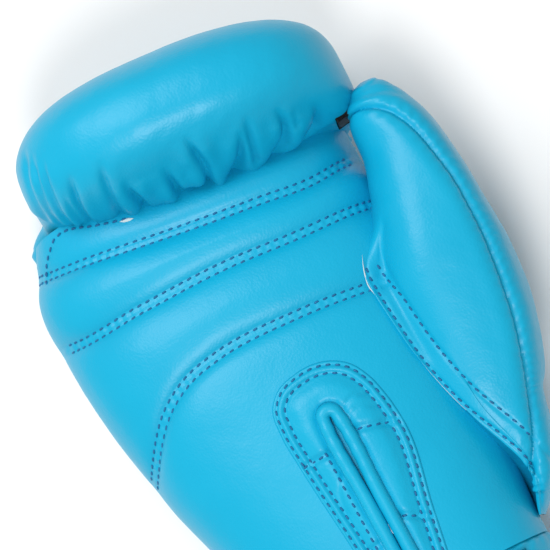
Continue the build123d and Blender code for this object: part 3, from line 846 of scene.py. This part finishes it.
sew("thumb_stitches", rows, teal_thread)
ROLL_SEAM = bent([
    (-82, 90), (-79.3, 95.7), (-73, 102), (-69.2, 104.9), (-63.8, 105.2), (-58.5, 103.2), (-53, 100.4),
    (-42.4, 96.3), (-34.7, 94),
], 2.0)
sew("roll_stitches", [dropped(ROLL_SEAM, fist, palm, lift=0.25)], teal_thread)

# ---- Raw edges ----------------------------------------------------------------------------------
# Where a panel is cut and lapped, its split-leather core shows as a pale line.
raw_core = bpy.data.materials.new("raw_leather_core")
raw_core.use_nodes = True
shader = raw_core.node_tree.nodes["Principled BSDF"]
shader.inputs["Roughness"].default_value = 0.95
place = node(raw_core.node_tree, "ShaderNodeTexCoord", (-900, 0))
fibres = node(raw_core.node_tree, "ShaderNodeTexNoise", (-700, 0), Scale=1400.0)
mix = node(raw_core.node_tree, "ShaderNodeMix", (-300, 0), data_type="RGBA")
mix.inputs["A"].default_value = (0.42, 0.60, 0.66, 1)
mix.inputs["B"].default_value = (0.78, 0.82, 0.80, 1)
rise = node(raw_core.node_tree, "ShaderNodeBump", (-300, -250), Strength=0.6, Distance=0.0003)
link = raw_core.node_tree.links.new
link(place.outputs["Object"], fibres.inputs["Vector"])
link(fibres.outputs["Fac"], mix.inputs["Factor"])
link(fibres.outputs["Fac"], rise.inputs["Height"])
link(mix.outputs["Result"], shader.inputs["Base Color"])
link(rise.outputs["Normal"], shader.inputs["Normal"])


def cut_edge(name, line, wide, high):
    """A thin rounded strip along a line of points, standing where a cut edge shows."""
    ahead = np.gradient(line, axis=0)
    ahead /= np.linalg.norm(ahead, axis=1, keepdims=True)
    side = np.stack([ahead[:, 1], -ahead[:, 0], 0 * ahead[:, 0]], -1)
    taper = np.clip(np.minimum(np.arange(len(line)), np.arange(len(line))[::-1]) / 4, 0.05, 1)[:, None, None]
    around = np.linspace(0, 2 * np.pi, 10, endpoint=False)
    ring = side[:, None] * (wide * np.cos(around))[:, None]
    ring = ring + np.array((0, 0, 1.0)) * (high * np.sin(around))[:, None]
    strip = sheet_mesh(name, line[:, None] + ring * taper, closed_v=True)
    close_ends(strip)
    strip.data.materials.append(raw_core)
    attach(strip, "glove")
    return strip


flap_low, _ = palm_at(flap[:, 0], flap[:, 1], 1.0)
cut_edge("thumb_flap_edge", flap_low, 0.30, 0.5)
sliver = ROLL_SEAM[(ROLL_SEAM[:, 0] > -41) & (ROLL_SEAM[:, 0] < -31)]
cut_edge("roll_seam_edge", dropped(respaced(sliver, 14) + (0, -0.6), fist, palm, lift=0.1)[0], 0.75, 0.35)
worn = respaced(np.array([(-1.4, -71.0), (-1.7, -76.5)]), 8)
cut_edge("bead_edge", dropped(worn, beads, lift=0.3)[0], 0.8, 0.4)

# ---- Thumb tie ----------------------------------------------------------------------------------
# A short black leather strap sewn between the tip of the thumb and the end of the finger roll.
black_leather = coated_leather("black_leather", (0.008, 0.009, 0.011), (0.005, 0.006, 0.007), 0.42)
bpy.ops.object.select_all(action="DESELECT")
tie_low, tie_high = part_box("thumb_tie")
middle = (tie_low + tie_high) / 2 + Vector((0.004, 0.002, 0))
bpy.ops.mesh.primitive_cube_add(size=1, location=middle)
tie = bpy.context.object
tie.name = "thumb_tie_strap"
bpy.ops.transform.resize(value=((tie_high.x - tie_low.x) * 0.8, 0.0035, (tie_high.z - tie_low.z) * 0.86))
bpy.ops.object.transform_apply(location=True, rotation=False, scale=True)
bpy.ops.object.mode_set(mode="EDIT")
bpy.ops.mesh.subdivide(number_cuts=7)
bpy.ops.mesh.bevel(offset=0.0006, segments=2)
bpy.ops.object.mode_set(mode="OBJECT")
for vert in tie.data.vertices:
    across = (vert.co.x - middle.x) / (tie_high.x - tie_low.x)
    vert.co.y += 0.0016 * np.cos(3.1 * across) - 0.0008
    vert.co.z -= 0.0012 * np.cos(3.1 * across)
bpy.ops.object.shade_smooth_by_angle(angle=0.7)
tie.data.materials.append(black_leather)
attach(tie, "glove")
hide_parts("thumb_tie")

# ---- Cuff ---------------------------------------------------------------------------------------
# A padded leather band round the wrist, open along the slit. It is sewn to the hand in a piped
# seam, and its mouth is bound with black woven tape.
CUFF_HALF, CUFF_MIDDLE_Z, CUFF_TALL, CUFF_ROUND = 56.0, 43.5, 40.5, 2.3


def cuff_at(turn, y, lift=0.0):
    """Point at a true angle round the cuff, and the direction out of it."""
    def radius(t):
        a, b = CUFF_HALF, CUFF_TALL
        level, upright = np.abs(np.cos(t)) / a, np.abs(np.sin(t)) / b
        return (level ** CUFF_ROUND + upright ** CUFF_ROUND) ** (-1 / CUFF_ROUND)

    turn = np.asarray(turn, float)
    e = 0.004
    r, slope = radius(turn), (radius(turn + e) - radius(turn - e)) / (2 * e)
    out_x = r * np.cos(turn) + slope * np.sin(turn)
    out_z = r * np.sin(turn) - slope * np.cos(turn)
    out = np.stack([out_x, 0 * turn, out_z], -1)
    out /= np.linalg.norm(out, axis=-1, keepdims=True)
    middle = np.stack([r * np.cos(turn), 0 * turn + y, CUFF_MIDDLE_Z + r * np.sin(turn)], -1)
    return middle + out * np.asarray(lift, float)[..., None], out


def ring_piece(name, turns, profile, body="glove", swell=None):
    """Sweeps a closed profile of (y, offset) points round the cuff, capped at both ends."""
    profile = np.asarray(profile, float)
    T, K = np.meshgrid(turns, np.arange(len(profile)), indexing="ij")
    y, lift = profile[K, 0], profile[K, 1]
    if swell is not None:
        y, lift = swell(T, y, lift)
    grid, _ = cuff_at(T, y, lift)
    for end in (0, -1):
        hub = grid[end].mean(0)
        rings = np.array([hub + (grid[end] - hub) * k for k in (0.6, 0.2)])
        rings += (grid[end] - grid[1 if end == 0 else -2]).mean(0) * np.array((0.5, 0.6))[:, None, None]
        grid = np.concatenate([rings[::-1], grid]) if end == 0 else np.concatenate([grid, rings])
    piece = sheet_mesh(name, grid, closed_v=True)
    close_ends(piece)
    if body:
        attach(piece, body)
    return piece


slit_half = np.arcsin(6.0 / (CUFF_TALL + 0.5))
cuff_turns = np.linspace(np.pi / 2 + slit_half, 5 * np.pi / 2 - slit_half, 320)
half_turn = np.linspace(np.pi / 2, 3 * np.pi / 2, 10)
lip = [(-155 + 2.6 * np.cos(a) - 1.2, -3 + 3.0 * np.sin(a)) for a in half_turn]
outside = [(y, 0.0) for y in np.linspace(-99, -154, 46)]
inside = [(y, -11.5) for y in np.linspace(-156, -99, 16)]
section = outside + lip[1:-1] + inside


def cuff_swell(turn, y, lift):
    open_edge = np.minimum(np.abs(turn - cuff_turns[0]), np.abs(turn - cuff_turns[-1])) * 42
    outer = lift > -1
    pull = 1.1 * np.exp(-(((y + 101.5) / 2.0) ** 2))
    puff = 1.0 * np.exp(-(((y + 106) / 4.5) ** 2)) + 0.35 * soft_noise(turn * 52, y, 45, 21)
    uneven = 3 * soft_noise(turn * 50, y, 60, 22)
    gathers = 0.22 * np.sin(turn * 52 * 0.9 + uneven) * np.exp(-(((y + 104) / 4) ** 2))
    edge = 1.6 * np.exp(-((open_edge / 2.2) ** 2))
    return y, lift + np.where(outer, puff + gathers - pull - edge, 0)


cuff = ring_piece("cuff_panel", cuff_turns, section, swell=cuff_swell)
cuff.data.materials.append(sky_leather)
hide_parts("cuff_cover", "cuff_back_pad", "cuff_pad_thumb_side", "cuff_pad_little_finger_side")


def make_weave():
    """Woven tape or cloth: Height for a bump and Yarn for the colour."""
    group = bpy.data.node_groups.new("weave", "ShaderNodeTree")
    face = group.interface
    face.new_socket("Scale", in_out="INPUT", socket_type="NodeSocketFloat").default_value = 400
    face.new_socket("Height", in_out="OUTPUT", socket_type="NodeSocketFloat")
    face.new_socket("Yarn", in_out="OUTPUT", socket_type="NodeSocketFloat")
    come, leave = node(group, "NodeGroupInput", (-900, 0)), node(group, "NodeGroupOutput", (400, 0))
    place = node(group, "ShaderNodeTexCoord", (-900, -300))
    link = group.links.new
    waves = []
    for direction in ("X", "Y", "Z"):
        wave = node(group, "ShaderNodeTexWave", (-500, 200 - 200 * len(waves)))
        wave.bands_direction = direction
        wave.inputs["Distortion"].default_value = 0.6
        wave.inputs["Detail Scale"].default_value = 2
        link(place.outputs["Object"], wave.inputs["Vector"])
        link(come.outputs["Scale"], wave.inputs["Scale"])
        waves.append(wave)
    slow = node(group, "ShaderNodeTexNoise", (-500, -500), Scale=60.0)
    link(place.outputs["Object"], slow.inputs["Vector"])
    first = node(group, "ShaderNodeMath", (-250, 100), operation="MAXIMUM")
    both = node(group, "ShaderNodeMath", (0, 0), operation="MULTIPLY")
    link(waves[0].outputs["Fac"], first.inputs[0])
    link(waves[2].outputs["Fac"], first.inputs[1])
    link(first.outputs[0], both.inputs[0])
    link(waves[1].outputs["Fac"], both.inputs[1])
    link(both.outputs[0], leave.inputs["Height"])
    link(slow.outputs["Fac"], leave.inputs["Yarn"])
    return group


weave = make_weave()


def cloth(name, light, dark, scale, roughness=0.85, sheen=0.3, depth=0.0004):
    made = bpy.data.materials.new(name)
    made.use_nodes = True
    tree, link = made.node_tree, made.node_tree.links.new
    shader = tree.nodes["Principled BSDF"]
    shader.inputs["Roughness"].default_value = roughness
    shader.inputs["Sheen Weight"].default_value = sheen
    shader.inputs["Specular IOR Level"].default_value = 0.3
    threads = node(tree, "ShaderNodeGroup", (-700, 0))
    threads.node_tree = weave
    threads.inputs["Scale"].default_value = scale
    tone = node(tree, "ShaderNodeMix", (-300, 200), data_type="RGBA")
    tone.inputs["A"].default_value = (*dark, 1)
    tone.inputs["B"].default_value = (*light, 1)
    total = node(tree, "ShaderNodeMath", (-500, 100), operation="MULTIPLY_ADD")
    total.inputs[1].default_value = 0.6
    rise = node(tree, "ShaderNodeBump", (-300, -250), Strength=0.8, Distance=depth)
    link(threads.outputs["Yarn"], total.inputs[0])
    link(threads.outputs["Height"], total.inputs[2])
    link(total.outputs[0], tone.inputs["Factor"])
    link(threads.outputs["Height"], rise.inputs["Height"])
    link(tone.outputs["Result"], shader.inputs["Base Color"])
    link(rise.outputs["Normal"], shader.inputs["Normal"])
    return made


black_tape = cloth("black_woven_tape", (0.022, 0.024, 0.028), (0.006, 0.006, 0.008), 330.0)
wrap = [(y, 0.3) for y in np.linspace(-150.6, -154.5, 6)]
half_turn = np.linspace(np.pi / 2, 3 * np.pi / 2, 14)
wrap += [(-155 + 3.6 * np.cos(a) - 0.6, -4.4 + 5.4 * np.sin(a)) for a in half_turn]
wrap += [(y, -12.3) for y in np.linspace(-154.5, -150.6, 6)]
wrap += [(-150.8, -10.8), (-150.8, -1.2)]
binding = ring_piece("cuff_mouth_tape", cuff_turns, wrap)
binding.data.materials.append(black_tape)
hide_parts("cuff_binding")

# ---- Hook-and-loop closure ----------------------------------------------------------------------
# A wide strap of doubled leather, sewn to the thumb side of the cuff, wraps over the slit. Its end
# carries hook tape underneath and grips a field of loop tape on the cuff.
STRAP_LOW, STRAP_HIGH = -153.0, -106.0
STRAP_UNDER, STRAP_TOP = 2.7, 5.7


def strap_section(low, high, under, top, crown):
    """Closed section of a strap: crowned outside, flat inside, rounded edges."""
    y = np.linspace(high - 1.5, low + 1.5, 40)
    across = (y - (low + high) / 2) / ((high - low) / 2)
    over = top - 1.0 + crown * (1 - np.abs(across) ** 5)
    for row in (-1, 1):
        over -= 0.35 * np.exp(-(((y - (low + high) / 2) * row - ((high - low) / 2 - 4.0)) / 0.8) ** 2)
    outer = list(zip(y, over))
    edge = lambda end, a: (end + 1.5 * np.cos(a), (under + over[0]) / 2 + (over[0] - under) / 2 * np.sin(a))
    left = [edge(low + 1.5, a) for a in np.linspace(np.pi / 2, 3 * np.pi / 2, 9)[1:-1]]
    right = [edge(high - 1.5, a) for a in np.linspace(3 * np.pi / 2, 5 * np.pi / 2, 9)[1:-1]]
    inner = [(v, under) for v in np.linspace(low + 1.5, high - 1.5, 14)]
    return outer + left + inner + right


def strap_swell(turn, y, lift):
    end = np.exp(-(((np.degrees(turn) - 218) / 1.6) ** 2))
    return y, lift + np.where(lift > 4, 0.18 * soft_noise(turn * 52, y, 30, 31) - 0.7 * end, 0)


def strap_run(name, start, end):
    turns = np.radians(np.linspace(start, end, int((end - start) * 1.6)))
    section = strap_section(STRAP_LOW, STRAP_HIGH, STRAP_UNDER, STRAP_TOP, 0.9)
    piece = ring_piece(name, turns, section, body=None, swell=strap_swell)
    piece.data.materials.append(sky_leather)
    return piece


def thinned_start(turn, y, lift):
    """The strap's sewn-down start is skived, so its top slopes down to the cuff."""
    skived = 3.6 * np.exp(-(((np.degrees(turn) - 36) / 2.2) ** 2))
    return y, lift - np.where(lift > 4, skived, 0)


base_section = strap_section(STRAP_LOW, STRAP_HIGH, 0.1, STRAP_TOP, 0.9)
anchor = ring_piece("strap_base", np.radians(np.linspace(36, 57.5, 40)), base_section, swell=thinned_start)
anchor.data.materials.append(sky_leather)
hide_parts("strap_anchor")


def hinge(turn_degrees, before, after):
    """Points just before and just after a fold of the strap."""
    return [tuple(metres(cuff_at(np.radians(turn_degrees + d), -129.5, 4.2)[0])) for d in (before, after)]


near = strap_run("strap_over_thumb_side", 57.5, 79)
middle_run = strap_run("strap_over_slit", 79, 122)
end_run = strap_run("strap_end_run", 122, 218)
strap_rows = []
for start, stop in ((57.5, 79), (79, 122), (122, 216.2)):
    turns = np.radians(np.linspace(start, stop, int((stop - start) * 2)))
    rows = [cuff_at(turns, y, STRAP_TOP - 0.22) for y in (STRAP_LOW + 4.0, STRAP_HIGH - 4.0)]
    if stop > 200:
        ys = np.linspace(STRAP_LOW + 4, STRAP_HIGH - 4, 30)
        rows.append(cuff_at(np.full(30, turns[-1]), ys, STRAP_TOP - 0.15))
    strap_rows.append(rows)
for piece, rows, parent, child, at in (
    (near, strap_rows[0], "glove", "strap_near", 58.0),
    (middle_run, strap_rows[1], "strap_near", "strap_middle", 100.0),
    (end_run, strap_rows[2], "strap_middle", "strap_end", 144.0),
):
    start, end = hinge(at, 0 if at == 58.0 else -5, 6 if at == 58.0 else 5)
    threads = sew(piece.name + "_stitches", rows, teal_thread, body=None)
    for each in (piece, threads):
        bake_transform(each)
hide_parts("strap_panel_1")
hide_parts("strap_panel_2")
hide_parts("strap_panel_3")
BOX_TURNS, BOX_LOW, BOX_HIGH = (41, 53), STRAP_LOW + 4, STRAP_HIGH - 4
up_strap = np.linspace(BOX_LOW, BOX_HIGH, 30)
box_x = [cuff_at(np.radians(np.full(30, a)), up_strap, STRAP_TOP - 0.3) for a in BOX_TURNS]
box_y = [cuff_at(np.radians(np.linspace(*BOX_TURNS, 20)), y, STRAP_TOP - 0.3) for y in (BOX_LOW, BOX_HIGH)]
sew("strap_base_stitches", box_x + box_y, teal_thread)


def pile(name, light, dark, scale, depth):
    """Hook or loop tape: a dense field of small stiff or fuzzy threads."""
    made = cloth(name, light, dark, 300.0, roughness=0.95, sheen=0.6)
    tree, link = made.node_tree, made.node_tree.links.new
    place = node(tree, "ShaderNodeTexCoord", (-900, -500))
    tufts = node(tree, "ShaderNodeTexVoronoi", (-700, -500), Scale=scale)
    rise = node(tree, "ShaderNodeBump", (-500, -500), Strength=1.0, Distance=depth)
    link(place.outputs["Object"], tufts.inputs["Vector"])
    link(tufts.outputs["Distance"], rise.inputs["Height"])
    link(rise.outputs["Normal"], [n for n in tree.nodes if n.type == "BUMP"][0].inputs["Normal"])
    return made


loop_pile = pile("loop_tape", (0.030, 0.032, 0.036), (0.010, 0.010, 0.012), 900.0, 0.0008)
hook_pile = pile("hook_tape", (0.020, 0.021, 0.024), (0.005, 0.005, 0.006), 650.0, 0.0006)


def tape_section(low, high, under, top):
    soft = [(low + 0.6, under), (low, (under + top) / 2), (low + 0.8, top)]
    over = [(y, top) for y in np.linspace(low + 2, high - 2, 20)]
    return soft + over + [(high - 0.8, top), (high, (under + top) / 2), (high - 0.6, under)]


def napped(turn, y, lift):
    """The loops stand a little uneven."""
    return y, lift + 0.10 * soft_noise(turn * 52, y, 9, 41) * (lift > 1)


loop_section = tape_section(-148, -111, 0.15, 1.35)
loops = ring_piece("loop_field", np.radians(np.linspace(122, 250, 150)), loop_section, swell=napped)
loops.data.materials.append(loop_pile)
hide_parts("loop_tape")
hook_section = tape_section(-148, -111, 1.55, 2.65)
hooks = ring_piece("hook_field", np.radians(np.linspace(150, 215, 90)), hook_section, body="strap_end")
hooks.data.materials.append(hook_pile)
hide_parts("hook_tape")

# ---- Pocket lining ------------------------------------------------------------------------------
# Woven nylon sewn into a mitten-shaped pocket: a flat tube that curls over at the fingers, with a
# stall for the thumb. It is turned in at the mouth of the cuff.
LINING_MOUTH, CURL_START, CURL_RADIUS = -156.5, 88, 22
rings = []
for share in np.linspace(0, 1, 60):
    y = LINING_MOUTH + (CURL_START - LINING_MOUTH) * share
    rings.append((y, POCKET_MIDDLE_Z, 0.0, *pocket_size(y)))
for share in np.linspace(0, 1, 18)[1:]:
    heading = np.radians(150 * share)
    size = np.sqrt(max(1 - max(0, share - 0.8) ** 2 * 25, 0.0))
    y = CURL_START + CURL_RADIUS * np.sin(heading)
    z = POCKET_MIDDLE_Z + CURL_RADIUS * (1 - np.cos(heading))
    rings.append((y, z, heading, (47 - 10 * share) * size, (13.5 - 4.5 * share) * size + 0.05))
around = np.linspace(0, 2 * np.pi, 72, endpoint=False)
a, b = rounded(np.cos(around), POCKET_ROUND), rounded(np.sin(around), POCKET_ROUND)
grid = np.array([
    np.stack([w * a, y - d * b * np.sin(h), z + d * b * np.cos(h)], -1) for y, z, h, w, d in rings
])
creases = 0.7 * soft_noise(grid[..., 0] * 1.5, grid[..., 1], 55, 51)
creases += 0.4 * np.sin(grid[..., 1] * 0.35 + grid[..., 0] * 0.08)
towards = grid - grid.mean(1, keepdims=True)
towards /= np.linalg.norm(towards, axis=-1, keepdims=True) + 1e-9
flat_at_mouth = 1 - np.exp(-(((grid[..., 1] - LINING_MOUTH) / 5) ** 2))
grid -= towards * ((0.9 + 0.6 * creases) * flat_at_mouth)[..., None]
start = grid[:1].mean(1, keepdims=True)
grid = np.concatenate([start + (grid[:1] - start) * 0.02, grid])
lining = sheet_mesh("hand_lining", grid, closed_v=True)
stall = np.array([
    (28, -28, 43.5, 13), (48, -5, 50, 13.5), (65, 25, 58, 13), (75, 52, 66, 11.5), (78, 66, 69, 8),
    (79, 70, 70, 1),
], float)
run = np.concatenate([[0], np.cumsum(np.linalg.norm(np.diff(stall[:, :3], axis=0), axis=1))])
line = eased(np.column_stack([run, stall]), np.linspace(0, run[-1], 50))
ahead = np.gradient(line[:, :3], axis=0)
ahead /= np.linalg.norm(ahead, axis=1, keepdims=True)
side = np.cross(ahead, (0, 0, 1.0))
side /= np.linalg.norm(side, axis=1, keepdims=True)
up = np.cross(side, ahead)
reach = (line[:, 3:] - 1.0)[:, None]
stall_grid = line[:, None, :3] + side[:, None] * np.cos(around)[:, None] * reach
stall_grid = stall_grid + up[:, None] * np.sin(around)[:, None] * reach
thumb_stall = sheet_mesh("stall", stall_grid, closed_v=True)
for piece in (lining, thumb_stall):
    close_ends(piece)
bpy.ops.object.select_all(action="DESELECT")
lining.select_set(True)
thumb_stall.select_set(True)
bpy.context.view_layer.objects.active = lining
bpy.ops.object.join()
remesh = lining.modifiers.new("one_pocket", "REMESH")
remesh.mode, remesh.voxel_size, remesh.use_smooth_shade = "VOXEL", 0.002, True
bpy.ops.object.modifier_apply(modifier="one_pocket")
bpy.ops.object.mode_set(mode="EDIT")
bpy.ops.mesh.select_mode(type="FACE")
bpy.ops.mesh.select_all(action="SELECT")
bpy.ops.mesh.bisect(plane_co=metres((0, -155.0, 0)), plane_no=(0, 1, 0), clear_inner=True)
bpy.ops.mesh.select_all(action="SELECT")
bpy.ops.mesh.flip_normals()
bpy.ops.object.mode_set(mode="OBJECT")
thicken = lining.modifiers.new("cloth", "SOLIDIFY")
thicken.thickness, thicken.offset = 0.0008, -1
bpy.ops.object.modifier_apply(modifier="cloth")
nylon = cloth(
    "dark_nylon_lining", (0.030, 0.034, 0.040), (0.012, 0.013, 0.016), 260.0, roughness=0.6, sheen=0.2
)
lining.data.materials.clear()
lining.data.materials.append(nylon)
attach(lining, "glove")
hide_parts("pocket_lining")

# ---- Elastic behind the slit --------------------------------------------------------------------
# Ribbed black webbing that holds the two sides of the slit together. Its shape is the frame's own.
ribbed = cloth("ribbed_elastic", (0.030, 0.031, 0.034), (0.008, 0.008, 0.009), 240.0, depth=0.0006)
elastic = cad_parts["slit_elastic"]
elastic.data.materials.clear()
elastic.data.materials.append(ribbed)

# ---- Close --------------------------------------------------------------------------------------
bpy.context.scene.view_settings.view_transform = "Standard"
bpy.context.view_layer.update()
